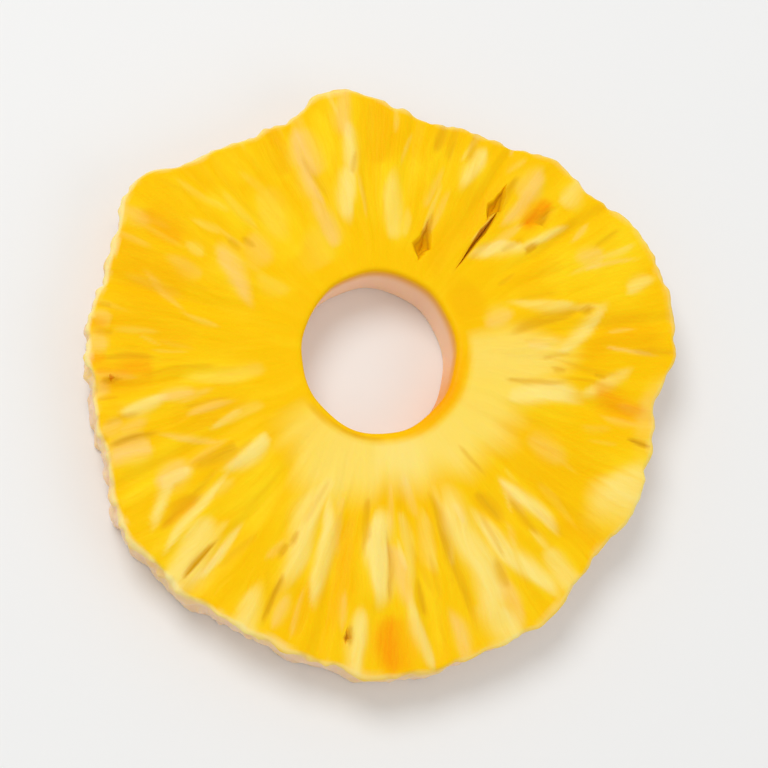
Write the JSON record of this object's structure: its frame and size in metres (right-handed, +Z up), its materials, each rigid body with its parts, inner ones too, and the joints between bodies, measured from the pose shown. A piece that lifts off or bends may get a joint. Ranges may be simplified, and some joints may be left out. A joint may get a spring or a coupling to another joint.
{
  "type": "pineapple ring",
  "caption": "Fresh pineapple ring: a peeled, cored slice of fruit that lies flat, with a round hole, a wavy cut rim and fine radial fibres.",
  "frame": {"origin": "centre of the bounding box at the height of the underside that the ring rests on", "axes": "+Z up out of the upper cut face, +Y towards the top of the picture, +X to its right"},
  "size_m": [0.093, 0.093, 0.0106],
  "materials": {
    "pineapple_flesh": "moist cut fruit, soft sheen"
  },
  "bodies": {
    "root": {"pineapple_ring": "pineapple_flesh"}
  },
  "joints": []
}
